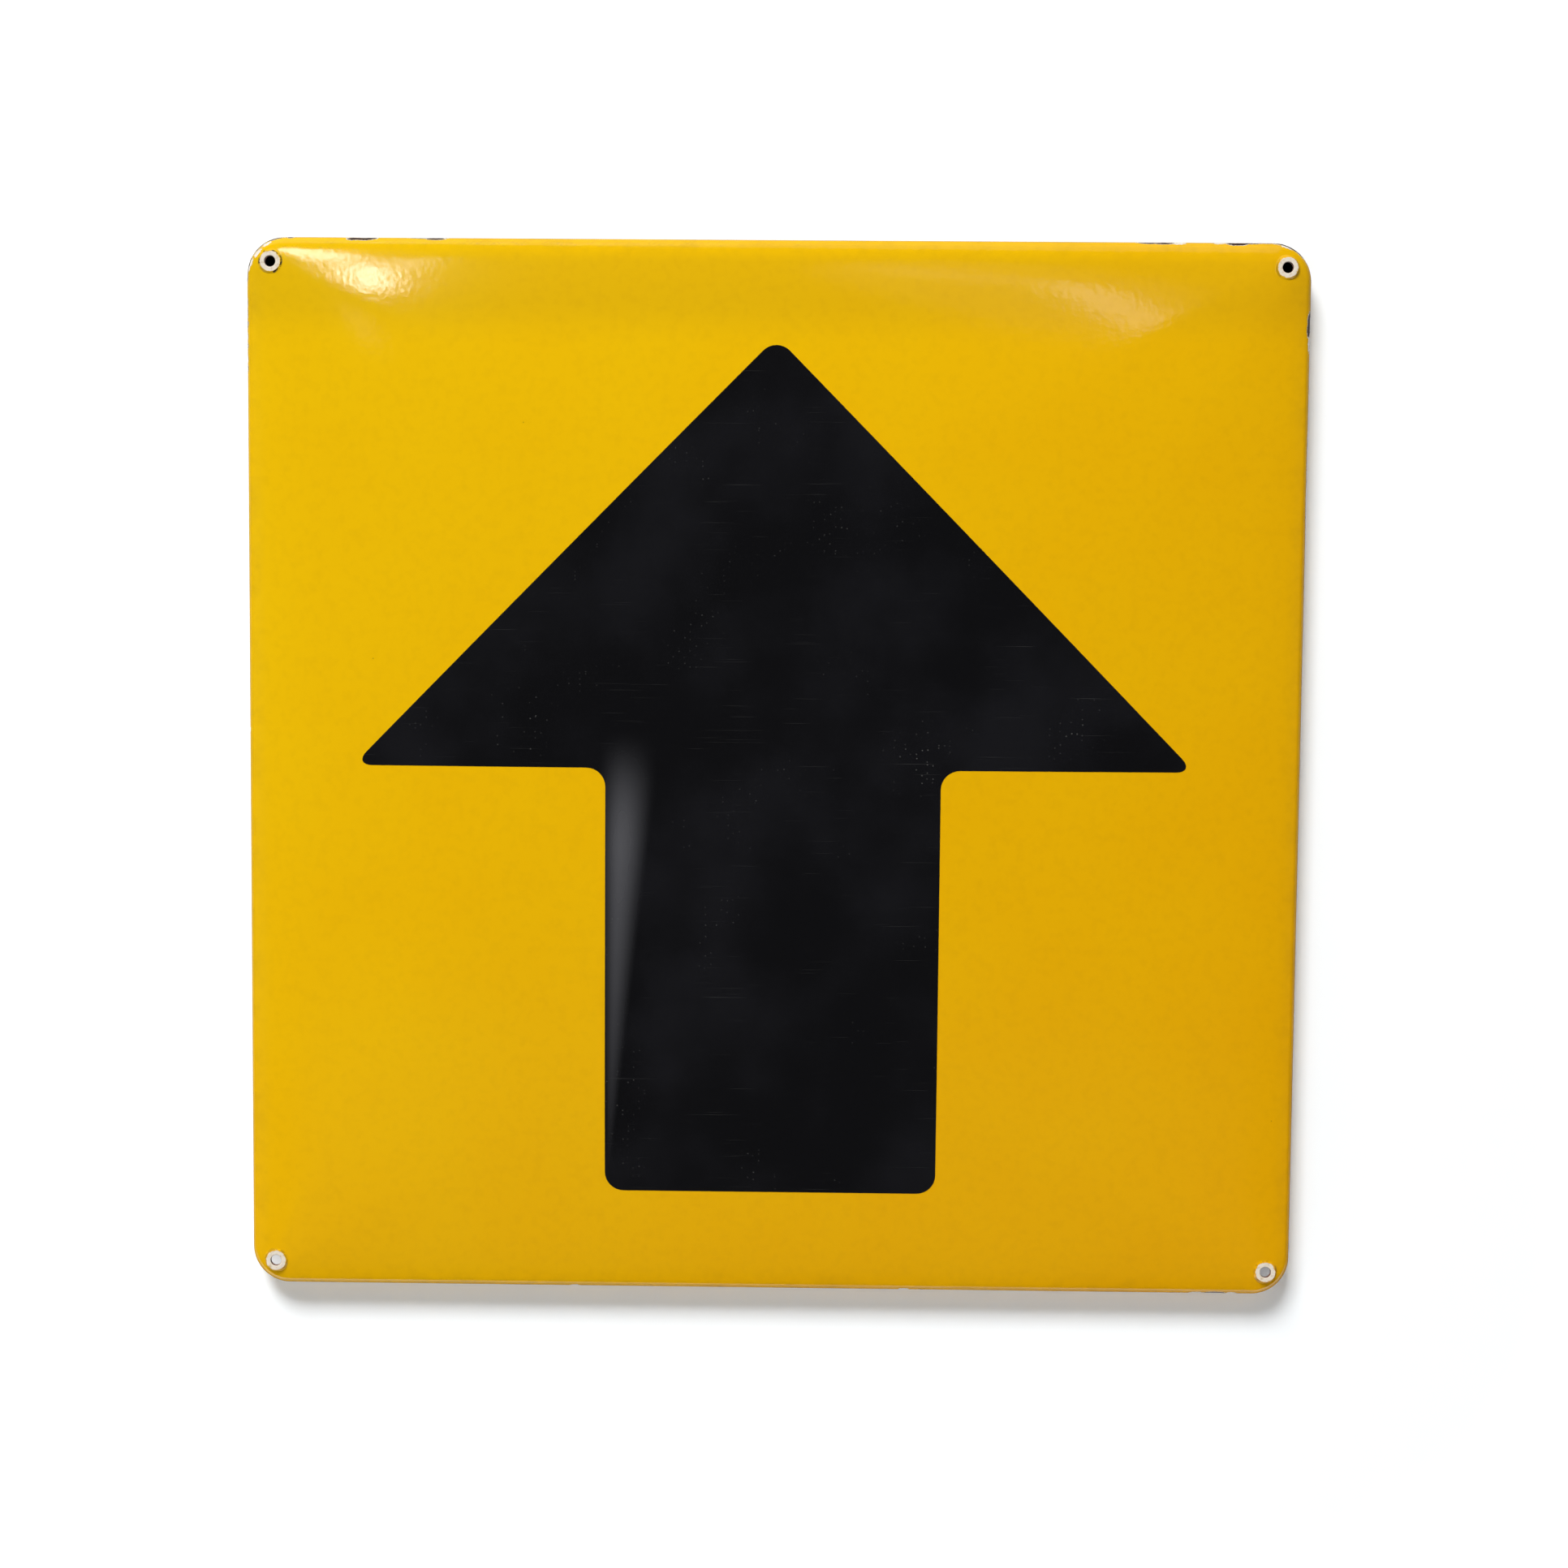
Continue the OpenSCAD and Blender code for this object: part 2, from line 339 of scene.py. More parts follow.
# Vitreous enamel, powdered glass fired on pressed steel: deep even colour under wet gloss, with orange peel.
def makeYellow():
    material, tree, place = startMaterial("yellowVitreousEnamel")
    cloud = addNode(tree, "TexNoise", {"Vector": place, "Scale": 1 / yellow["cloud"], "Detail": 3.0})
    grain = addNode(tree, "TexNoise", {"Vector": place, "Scale": 1 / yellow["grain"], "Detail": 3.0})
    leftUp = addNode(tree, "VectorMath.DOT_PRODUCT", (place, (-1, 0, 1)), output="Value")
    paintedLightShare = addNode(tree, "MapRange", (leftUp, *yellow["paintedLightRange"]))
    # painted light: lighter towards the upper left, on top of the slow cloud
    cloudShare = addNode(tree, "Math.MULTIPLY_ADD", (cloud, yellow["cloudWeight"], paintedLightShare), use_clamp=True)
    grainShare = addNode(tree, "MapRange", (grain, *yellow["grainRange"]))
    coat = addNode(tree, "Mix.RGBA", {"Factor": cloudShare, "A": yellow["deep"], "B": yellow["light"]})
    coat = addNode(tree, "Mix.RGBA", {"Factor": grainShare, "A": coat, "B": yellow["shadow"]})

    # dirt that gathers in the margin, along the roll and down the skirt, and painted shade on the upper slope
    corner = addNode(tree, "VectorMath.ABSOLUTE", (place,))
    acrossX = addNode(tree, "SeparateXYZ", (corner,), output="X")
    acrossZ = addNode(tree, "SeparateXYZ", (corner,), output="Z")
    depth = addNode(tree, "SeparateXYZ", (place,), output="Y")
    up = addNode(tree, "SeparateXYZ", (place,), output="Z")
    outward = addNode(tree, "Math.MAXIMUM", (acrossX, acrossZ))
    margin = addNode(tree, "MapRange", (outward, *yellow["marginSoil"]), **smooth)
    skirt = addNode(tree, "MapRange", (depth, *yellow["skirtSoil"]), **smooth)
    soilNoise = addNode(tree, "TexNoise", {"Vector": place, "Scale": 1 / yellow["soilPatch"], "Detail": 5.0,
                                           "Roughness": 0.65})
    soilPatch = addNode(tree, "MapRange", (soilNoise, *yellow["soilPatchRange"]), **smooth)
    soilReach = addNode(tree, "Math.ADD", (margin, skirt))
    soilAndShadeShare = addNode(tree, "Math.MULTIPLY", (soilReach, soilPatch))
    shadeFoot = addNode(tree, "MapRange", (up, *yellow["shadeFoot"]), **smooth)
    shadeTop = addNode(tree, "MapRange", (up, *yellow["shadeTop"]), **smooth)
    # painted shade: a darker band on the upper slope
    soilAndShadeShare = addNode(tree, "Math.MULTIPLY_ADD", (shadeFoot, shadeTop, soilAndShadeShare))
    coat = addNode(tree, "Mix.RGBA", {"Factor": soilAndShadeShare, "A": coat, "B": yellow["soilAndShade"]})

    # pits in the glass
    pitCells = addNode(tree, "TexVoronoi", {"Vector": place, "Scale": 1 / yellow["pit"]}, output="Distance")
    pitShare = addNode(tree, "MapRange", (pitCells, *yellow["pitRange"]))
    coat = addNode(tree, "Mix.RGBA", {"Factor": pitShare, "A": coat, "B": yellow["soilAndShade"]})

    # the seat of each hole has lost its yellow under the screw's washer
    reach = vectorLength(tree, cornerOffset(tree, place, holeCentre / mm))
    ragged = addNode(tree, "TexNoise", {"Vector": place, "Scale": 1 / yellow["ragged"], "Detail": 4.0,
                                        "Roughness": 0.6})
    raggedReach = yellow["raggedReach"]
    raggedShift = addNode(tree, "MapRange", (ragged, 0.0, 1.0, -raggedReach, raggedReach))
    ringReach = addNode(tree, "Math.ADD", (reach, raggedShift))
    ringEdge, ringSoft = yellow["ringEdge"], yellow["ringSoft"]
    ring = addNode(tree, "MapRange", (ringReach, ringEdge + ringSoft, ringEdge - ringSoft), **smooth)
    stainShare = addNode(tree, "MapRange", (ragged, *yellow["stainRange"]))
    seat = addNode(tree, "Mix.RGBA", {"Factor": stainShare, "A": yellow["ring"], "B": yellow["ringStain"]})
    coat = addNode(tree, "Mix.RGBA", {"Factor": ring, "A": coat, "B": seat})

    # and a broken dark line runs round it, most of all at the top left
    lineWeight = addNode(tree, "MapRange", (leftUp, *yellow["lineSide"]))
    lineIn = addNode(tree, "MapRange", (ringReach, *yellow["lineIn"]))
    lineOut = addNode(tree, "MapRange", (ringReach, *yellow["lineOut"]))
    lineNoise = addNode(tree, "TexNoise", {"Vector": place, "Scale": 1 / yellow["linePatch"], "Detail": 3.0})
    line = addNode(tree, "MapRange", (lineNoise, *yellow["linePatchRange"]))
    for share in (lineIn, lineOut, lineWeight):
        line = addNode(tree, "Math.MULTIPLY", (line, share))
    coat = addNode(tree, "Mix.RGBA", {"Factor": line, "A": coat, "B": yellow["steel"]})

    # chips along the roll: bare rusted steel inside a narrow edge of the white ground coat
    crumble = addNode(tree, "TexNoise", {"Vector": place, "Scale": 1 / yellow["crumble"], "Detail": 4.0,
                                         "Roughness": 0.65})
    crumbleReach = yellow["crumbleReach"]
    crumbleShift = addNode(tree, "MapRange", (crumble, 0.0, 1.0, -crumbleReach, crumbleReach))
    chipDepth = addNode(tree, "Attribute", output="Fac", attribute_name="chipEdge")
    paleDepth = addNode(tree, "Attribute", output="Fac", attribute_name="paleEdge")
    chipReach = addNode(tree, "Math.ADD", (chipDepth, crumbleShift))
    paleReach = addNode(tree, "Math.ADD", (paleDepth, crumbleShift))
    haloWidth, haloSoft, steelSoft = yellow["haloWidth"], yellow["haloSoft"], yellow["steelSoft"]
    halo = addNode(tree, "MapRange", (chipReach, haloWidth + haloSoft, haloWidth - haloSoft))
    pale = addNode(tree, "MapRange", (paleReach, haloSoft, -haloSoft))
    bareGround = addNode(tree, "Math.MAXIMUM", (halo, pale))
    bareSteel = addNode(tree, "MapRange", (chipReach, steelSoft, -steelSoft))
    coat = addNode(tree, "Mix.RGBA", {"Factor": bareGround, "A": coat, "B": yellow["ground"]})
    rustShare = addNode(tree, "MapRange", (crumble, *yellow["rustRange"]))
    steel = addNode(tree, "Mix.RGBA", {"Factor": rustShare, "A": yellow["steel"], "B": yellow["rust"]})
    coat = addNode(tree, "Mix.RGBA", {"Factor": bareSteel, "A": coat, "B": steel})

    worn = addNode(tree, "Math.MAXIMUM", (ring, bareGround))
    roughness = yellow["roughness"]
    for share, rougher in ((worn, "wornRough"), (soilAndShadeShare, "soilRough"), (bareSteel, "steelRough")):
        roughness = addNode(tree, "Math.MULTIPLY_ADD", (share, yellow[rougher], roughness))
    height = addNode(tree, "Math.MULTIPLY_ADD", (worn, yellow["wornStep"], orangePeel(tree, place, yellow)))
    finishGlass(tree, coat, roughness, height)
    return material


black = {
    # the last of these is the pale colour of a painted sheen
    "coat": "#0D0D0F", "faded": "#161619", "dust": "#8C8C88", "paintedSheen": "#5E5E62",
    "cloud": 70, "cloudRange": (0.4, 0.7),
    "scratchLength": 45, "scratchWidth": 0.4,   # hairlines drawn wide enough to show
    "scratchRange": (0.68, 0.80, 0.0, 0.12),
    "dustCell": 2.6, "dustRadius": 0.4, "dustCore": 0.4,   # the core is a share of the radius
    "dustShare": 0.75,            # the share of the cells that have no fleck
    "cluster": 45, "clusterRange": (0.55, 0.80, 0.0, 0.45),
    # painted sheen down the left edge of the shaft
    "sheenTop": -4.0, "sheenFoot": -190.0, "sheenEdge": -78.0,
    "sheenWidth": (2.0, 24.0),   # at its foot and at its top
    "sheenRise": (-0.2, 0.3), "sheenFall": (1.0, 0.3),   # in shares of its width
    "sheenHead": (25.0, -35.0), "sheenMost": 0.8,        # where it begins, from its top
    "roughness": 0.08, "fadedRough": 0.08, "roughRange": (0.35, 0.7), "sheenRough": 0.3,
    "peel": 2.8, "peelDepth": 0.003,
    "swell": 28, "swellDepth": 0.012,
}


# The same glass in black, fired over the yellow: near black, so every scratch and fleck shows, and a painted
# sheen down the shaft.
def makeBlack():
    material, tree, place = startMaterial("blackVitreousEnamel")
    cloud = addNode(tree, "TexNoise", {"Vector": place, "Scale": 1 / black["cloud"], "Detail": 4.0})
    cloudShare = addNode(tree, "MapRange", (cloud, *black["cloudRange"]), **smooth)
    coat = addNode(tree, "Mix.RGBA", {"Factor": cloudShare, "A": black["coat"], "B": black["faded"]})

    # hairline scratches, most of them lying across
    stretch = (1 / black["scratchLength"], 0, 1 / black["scratchWidth"])
    along = addNode(tree, "VectorMath.MULTIPLY", (place, stretch))
    scratch = addNode(tree, "TexNoise", {"Vector": along, "Scale": 1.0, "Detail": 2.0})
    scratchShare = addNode(tree, "MapRange", (scratch, *black["scratchRange"]))
    coat = addNode(tree, "Mix.RGBA", {"Factor": scratchShare, "A": coat, "B": black["dust"]})

    # dust and flecks in loose clusters, seen straight on
    across = addNode(tree, "SeparateXYZ", (place,), output="X")
    up = addNode(tree, "SeparateXYZ", (place,), output="Z")
    flat = addNode(tree, "CombineXYZ", (across, up, 0.0))
    cells = addNode(tree, "TexVoronoi", {"Vector": flat, "Scale": 1 / black["dustCell"]}, output="Distance",
                    voronoi_dimensions="2D")
    dustEdge = black["dustRadius"] / black["dustCell"]
    fleck = addNode(tree, "MapRange", (cells, dustEdge, dustEdge * black["dustCore"]))
    lot = addNode(tree, "SeparateXYZ", (cells.node.outputs["Color"],), output="X")
    drawn = addNode(tree, "MapRange", (lot, black["dustShare"], 1.0))
    cluster = addNode(tree, "TexNoise", {"Vector": place, "Scale": 1 / black["cluster"], "Detail": 3.0})
    dustShare = addNode(tree, "MapRange", (cluster, *black["clusterRange"]))
    for share in (fleck, drawn):
        dustShare = addNode(tree, "Math.MULTIPLY", (dustShare, share))
    coat = addNode(tree, "Mix.RGBA", {"Factor": dustShare, "A": coat, "B": black["dust"]})

    # painted sheen: a soft pale reflection painted down the left edge of the shaft, narrowing downwards,
    # where the glass is also rougher
    top, foot = black["sheenTop"], black["sheenFoot"]
    headStart, headEnd = black["sheenHead"]
    width = addNode(tree, "MapRange", (up, foot, top, *black["sheenWidth"]))
    fromEdge = addNode(tree, "Math.ADD", (across, -black["sheenEdge"]))
    fromEdge = addNode(tree, "Math.DIVIDE", (fromEdge, width))
    rise = addNode(tree, "MapRange", (fromEdge, *black["sheenRise"]), **smooth)
    fall = addNode(tree, "MapRange", (fromEdge, *black["sheenFall"]), **smooth)
    head = addNode(tree, "MapRange", (up, top + headStart, top + headEnd, 0.0, black["sheenMost"]), **smooth)
    sheen = addNode(tree, "MapRange", (up, foot, top, 0.0, 1.0))
    for share in (rise, fall, head):
        sheen = addNode(tree, "Math.MULTIPLY", (sheen, share))
    coat = addNode(tree, "Mix.RGBA", {"Factor": sheen, "A": coat, "B": black["paintedSheen"]})

    smoothest = black["roughness"]
    rough = addNode(tree, "MapRange", (cloud, *black["roughRange"], smoothest,
                                       smoothest + black["fadedRough"]))
    roughness = addNode(tree, "Math.MULTIPLY_ADD", (sheen, black["sheenRough"], rough))
    finishGlass(tree, coat, roughness, orangePeel(tree, place, black))
    return material


groundCoat = {
    "coat": "#1D2026", "thin": "#30363D", "fleck": "#A9ABA6", "rust": "#6B3B22", "rustDark": "#33211A",
    "cloud": 55, "cloudRange": (0.35, 0.7),
    "fleckCell": 6.5, "fleckRadius": 0.75, "fleckCore": 0.03, "fleckMost": 0.6,
    "creep": 9, "creepRange": (0.3, 0.7, -4.0, 4.0),   # how ragged the edge of the rust is
    "rustRim": 3.5, "rimSoft": 2.0,    # rust from the rim
    "rustHole": 6.0, "holeSoft": 1.5,  # and from the middle of a hole
    "rustRange": (0.4, 0.62),
    "roughness": 0.22, "thinRough": 0.12, "roughRange": (0.3, 0.7), "rustRough": 0.5,
    "peel": 3.5, "peelDepth": 0.02,
    "grit": 0.9, "gritDepth": 0.12,
}


# The ground coat alone, dipped and fired on the back: blue-black glass with pale flecks and rusty edges.
def makeGroundCoat():
    material, tree, place = startMaterial("darkGroundCoat")
    cloud = addNode(tree, "TexNoise", {"Vector": place, "Scale": 1 / groundCoat["cloud"], "Detail": 4.0})
    cloudShare = addNode(tree, "MapRange", (cloud, *groundCoat["cloudRange"]), **smooth)
    coat = addNode(tree, "Mix.RGBA", {"Factor": cloudShare, "A": groundCoat["coat"], "B": groundCoat["thin"]})
    cells = addNode(tree, "TexVoronoi", {"Vector": place, "Scale": 1 / groundCoat["fleckCell"]},
                    output="Distance")
    fleckEdge = groundCoat["fleckRadius"] / groundCoat["fleckCell"]
    fleck = addNode(tree, "MapRange", (cells, fleckEdge, groundCoat["fleckCore"], 0.0,
                                       groundCoat["fleckMost"]))
    coat = addNode(tree, "Mix.RGBA", {"Factor": fleck, "A": coat, "B": groundCoat["fleck"]})

    depth = addNode(tree, "SeparateXYZ", (place,), output="Y")
    creep = addNode(tree, "TexNoise", {"Vector": place, "Scale": 1 / groundCoat["creep"], "Detail": 6.0,
                                       "Roughness": 0.7})
    creepShift = addNode(tree, "MapRange", (creep, *groundCoat["creepRange"]))
    rimStart = plate["rimY"] / mm - groundCoat["rustRim"]
    fromRim = addNode(tree, "Math.ADD", (depth, creepShift))
    rimRust = addNode(tree, "MapRange", (fromRim, rimStart, rimStart + groundCoat["rimSoft"]))
    reach = vectorLength(tree, cornerOffset(tree, place, holeCentre / mm))
    fromHole = addNode(tree, "Math.ADD", (reach, creepShift))
    holeEnd = groundCoat["rustHole"]
    holeRust = addNode(tree, "MapRange", (fromHole, holeEnd + groundCoat["holeSoft"], holeEnd))
    rust = addNode(tree, "Math.MAXIMUM", (rimRust, holeRust))
    rustShade = addNode(tree, "MapRange", (creep, *groundCoat["rustRange"]))
    rustCoat = addNode(tree, "Mix.RGBA", {"Factor": rustShade, "A": groundCoat["rustDark"],
                                          "B": groundCoat["rust"]})
    coat = addNode(tree, "Mix.RGBA", {"Factor": rust, "A": coat, "B": rustCoat})

    smoothest = groundCoat["roughness"]
    rough = addNode(tree, "MapRange", (cloud, *groundCoat["roughRange"], smoothest,
                                       smoothest + groundCoat["thinRough"]))
    roughness = addNode(tree, "Math.MULTIPLY_ADD", (rust, groundCoat["rustRough"], rough))
    peel = addNode(tree, "TexNoise", {"Vector": place, "Scale": 1 / groundCoat["peel"], "Detail": 3.0})
    peelHeight = addNode(tree, "Math.MULTIPLY", (peel, groundCoat["peelDepth"]))
    grit = addNode(tree, "TexNoise", {"Vector": place, "Scale": 1 / groundCoat["grit"], "Detail": 4.0})
    gritHeight = addNode(tree, "Math.MULTIPLY", (grit, groundCoat["gritDepth"]))
    height = addNode(tree, "Math.MULTIPLY_ADD", (rust, gritHeight, peelHeight))
    finishGlass(tree, coat, roughness, height)
    return material


yellowMaterial, blackMaterial, groundMaterial = makeYellow(), makeBlack(), makeGroundCoat()
print("materials:", [m.name for m in (yellowMaterial, blackMaterial, groundMaterial)])


def meshObject(name, mesh, materials):
    piece = bpy.data.objects.new(name, mesh)
    scene.collection.objects.link(piece)
    mesh.materials.clear()
    for material in materials:
        mesh.materials.append(material)
    return piece


def applyModifiers(piece):  # the modified mesh takes the place of the piece's own
    bpy.context.view_layer.update()
    graph = bpy.context.evaluated_depsgraph_get()
    mesh = bpy.data.meshes.new_from_object(piece.evaluated_get(graph))
    piece.modifiers.clear()
    piece.data = mesh


def smoothWithEdges(mesh, angle):
    mesh.polygons.foreach_set("use_smooth", [True] * len(mesh.polygons))
    mesh.set_sharp_from_angle(angle=math.radians(angle))


def outlineEdges(shell):
    return [edge for edge in shell.edges if edge.is_boundary]


def shapeSheet():  # the outer skin: face, rolled edge and skirt
    shell = bmesh.new()
    bmesh.ops.create_grid(shell, x_segments=plate["cells"], y_segments=plate["cells"], size=1.0)
    for vert in shell.verts:
        vert.co = levelPoint(vert.co.x, vert.co.y)
    fine = [edge for edge in shell.edges
            if all(holeDistance(vert.co.x, vert.co.z) < holes["fineZone"] for vert in edge.verts)]
    bmesh.ops.subdivide_edges(shell, edges=fine, cuts=2, use_grid_fill=True)
    for vert in shell.verts:
        vert.co.y = faceDepth(vert.co.x, vert.co.z, plate["underFigure"])

    rollEnd = math.pi / 2
    angles = [plate["rollAngle"] + (rollEnd - plate["rollAngle"]) * (step + 1) / plate["rollSteps"]
              for step in range(plate["rollSteps"])]
    stops = [(plate["rollRadius"] * (1 - math.sin(angle)), rollY - plate["rollRadius"] * math.cos(angle))
             for angle in angles]
    stops += [(0.0, rollY + (plate["rimY"] - rollY) * (step + 1) / plate["skirtSteps"])
              for step in range(plate["skirtSteps"])]
    for inset, depth in stops:
        bmesh.ops.extrude_edge_only(shell, edges=outlineEdges(shell))
        for vert in {vert for edge in outlineEdges(shell) for vert in edge.verts}:
            base = cornerBase(vert.co.x, vert.co.z)
            out = Vector((vert.co.x - base.x, 0, vert.co.z - base.z)).normalized()
            vert.co = base + out * (plate["cornerRadius"] - inset)
            vert.co.y = depth

    # finer along the chips
    for cuts, longest in chips["cuts"]:
        chosen = []
        for edge in shell.edges:
            first, second = edge.verts
            middle = (first.co + second.co) / 2
            if not besideEdge(middle) or edge.calc_length() < longest:
                continue
            reach = min(chipDistance(vert.co, chips["spots"] + chips["pale"]) for vert in (first, second))
            base = cornerBase(middle.x, middle.z)
            out = Vector((middle.x - base.x, 0, middle.z - base.z)).normalized()
            tangent = abs((second.co - first.co).normalized().dot(Vector((out.z, 0, -out.x))))
            if reach < chips["near"] and tangent > chips["alongside"]:
                chosen.append(edge)
        bmesh.ops.subdivide_edges(shell, edges=chosen, cuts=cuts, use_grid_fill=True)
    bmesh.ops.recalc_face_normals(shell, faces=shell.faces)
    middleFace = min(shell.faces, key=lambda face: face.calc_center_median().xz.length)
    if middleFace.normal.y > 0:
        bmesh.ops.reverse_faces(shell, faces=shell.faces)
    return shell


def finishSheet(piece):  # seats, chips and the rounded rim, on the thick sheet
    shell = bmesh.new()
    shell.from_mesh(piece.data)
    outside = {vert for face in shell.faces if face.material_index == 0 for vert in face.verts}
    for vert in shell.verts:
        away = holeDistance(vert.co.x, vert.co.z)
        if away < holes["seatRadius"] + holes["shoulder"]:
            front = vert in outside
            edge = holes["seatRadius"] if front else holes["backRadius"]
            seatY = 0.0 if front else plate["sheet"]
            blend = smoothStep(edge, edge + holes["shoulder"], away)
            vert.co.y = seatY + (vert.co.y - seatY) * blend
    shell.normal_update()
    for vert in outside:
        if besideEdge(vert.co):
            sunk = smoothStep(*chips["wall"], chipDistance(vert.co, chips["spots"]))
            paleSunk = smoothStep(*chips["wall"], chipDistance(vert.co, chips["pale"]))
            vert.co -= vert.normal * max(sunk, chips["paleShare"] * paleSunk) * chips["depth"]
    rim = [edge for edge in shell.edges
           if all(vert.co.y > plate["rimY"] - 0.01 * mm for vert in edge.verts)
           and len(edge.link_faces) == 2 and edge.calc_face_angle(0) > math.radians(60)]
    bmesh.ops.bevel(shell, geom=rim, offset=plate["rimRound"], offset_type="OFFSET",
                    segments=plate["rimSteps"], profile=0.5, affect="EDGES", material=-1, clamp_overlap=True)
    shell.to_mesh(piece.data)
    shell.free()


def holeCutter():  # four round punches with a flared mouth, in one mesh
    punch = bmesh.new()
    lip, radius = holes["lip"], holes["radius"]
    turns = [math.pi / 2 * step / holes["lipSteps"] for step in range(holes["lipSteps"] + 1)]
    outline = [(0.0, holes["punchFrom"]), (radius + lip, holes["punchFrom"])]
    outline += [(radius + lip - lip * math.sin(turn), lip - lip * math.cos(turn)) for turn in turns]
    outline += [(radius, holes["punchTo"]), (0.0, holes["punchTo"])]
    for sideX in (-1, 1):
        for sideZ in (-1, 1):
            centre = Vector((sideX * holeCentre, 0, sideZ * holeCentre))
            verts = [punch.verts.new(centre + Vector((reach, depth, 0))) for reach, depth in outline]
            edges = [punch.edges.new(pair) for pair in zip(verts, verts[1:])]
            bmesh.ops.spin(punch, geom=verts + edges, cent=centre, axis=(0, 1, 0), angle=math.tau,
                           steps=holes["sides"], use_merge=True)
    bmesh.ops.remove_doubles(punch, verts=punch.verts, dist=0.001 * mm)
    bmesh.ops.recalc_face_normals(punch, faces=punch.faces)
    mesh = bpy.data.meshes.new("hole_punches")
    punch.to_mesh(mesh)
    punch.free()
    return meshObject("hole_punches", mesh, [yellowMaterial])


def makePlate():
    shell = shapeSheet()
    mesh = bpy.data.meshes.new("plate_enamel")
    shell.to_mesh(mesh)
    shell.free()
    piece = meshObject("plate_enamel", mesh, [yellowMaterial, groundMaterial])
    thick = piece.modifiers.new("sheet", "SOLIDIFY")
    thick.thickness = plate["sheet"]
    thick.offset = -1
    thick.use_even_offset = True
    thick.use_quality_normals = True
    thick.material_offset = 1
    thick.material_offset_rim = 1
    applyModifiers(piece)
    finishSheet(piece)
    punches = holeCutter()
    cut = piece.modifiers.new("holes", "BOOLEAN")
    cut.operation = "DIFFERENCE"
    cut.solver = "EXACT"
    cut.object = punches
    applyModifiers(piece)
    bpy.data.objects.remove(punches)

    mesh = piece.data
    spotDepths, paleDepths = [], []
    for vert in mesh.vertices:
        beside = besideEdge(vert.co)
        spotDepths.append(chipDistance(vert.co, chips["spots"]) if beside else chips["far"])
        paleDepths.append(chipDistance(vert.co, chips["pale"]) if beside else chips["far"])
    for name, values in (("chipEdge", spotDepths), ("paleEdge", paleDepths)):
        layer = mesh.attributes.new(name, "FLOAT", "POINT")
        layer.data.foreach_set("value", values)
    for face in mesh.polygons:
        if holeDistance(face.center.x, face.center.z) < holes["radius"] + 0.1 * mm:
            face.material_index = 1
    smoothWithEdges(mesh, plate["smoothBelow"])
    return piece


plateEnamel = makePlate()
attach(plateEnamel, "root")
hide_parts("sign_plate")
print("plate:", len(plateEnamel.data.polygons), "faces")

arrow = {
    "tip": 204 * mm, "headFoot": 2 * mm, "headHalf": 199 * mm,
    "shaftHalf": 79 * mm, "foot": -201 * mm,
    "cornerCut": 9 * mm, "cornerSteps": 8,   # rounding, measured along the sides
    "grid": 8 * mm,               # mesh spacing, so that the coat follows the pillow
    "sunk": 0.07 * mm,            # into the yellow
    "smoothBelow": 50,            # degrees
}


def makeArrow():  # one plain block arrow, straight on
    coat = bmesh.new()
    head, shaft = arrow["headHalf"], arrow["shaftHalf"]
    shoulder, foot = arrow["headFoot"], arrow["foot"]
    outline = [(0, arrow["tip"]), (head, shoulder), (shaft, shoulder), (shaft, foot),
               (-shaft, foot), (-shaft, shoulder), (-head, shoulder)]
    corners = [coat.verts.new((x, 0, z)) for x, z in outline]
    coat.faces.new(corners)
    bmesh.ops.bevel(coat, geom=corners, offset=arrow["cornerCut"], offset_type="OFFSET",
                    segments=arrow["cornerSteps"], profile=0.5, affect="VERTICES", material=-1)
    for axis, reach in (((1, 0, 0), arrow["headHalf"]), ((0, 0, 1), arrow["tip"])):
        count = math.ceil(reach / arrow["grid"])
        for step in range(-count + 1, count):
            everything = coat.verts[:] + coat.edges[:] + coat.faces[:]
            bmesh.ops.bisect_plane(coat, geom=everything, dist=0.0001 * mm, plane_no=axis,
                                   plane_co=Vector(axis) * step * arrow["grid"])
    coat.normal_update()
    if coat.faces[:][0].normal.y > 0:
        bmesh.ops.reverse_faces(coat, faces=coat.faces)
    front = coat.faces[:]
    grown = bmesh.ops.extrude_face_region(coat, geom=front, use_keep_orig=True)
    backVerts = [item for item in grown["geom"] if isinstance(item, bmesh.types.BMVert)]
    backSet = set(backVerts)
    for vert in coat.verts:
        under = plate["underFigure"] + arrow["sunk"] if vert in backSet else 0.0
        vert.co.y = faceDepth(vert.co.x, vert.co.z, under)
    bmesh.ops.recalc_face_normals(coat, faces=coat.faces)
    mesh = bpy.data.meshes.new("arrow_enamel")
    coat.to_mesh(mesh)
    coat.free()
    smoothWithEdges(mesh, arrow["smoothBelow"])
    return meshObject("arrow_enamel", mesh, [blackMaterial])


arrowEnamel = makeArrow()
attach(arrowEnamel, "root")
print("arrow:", len(arrowEnamel.data.polygons), "faces")

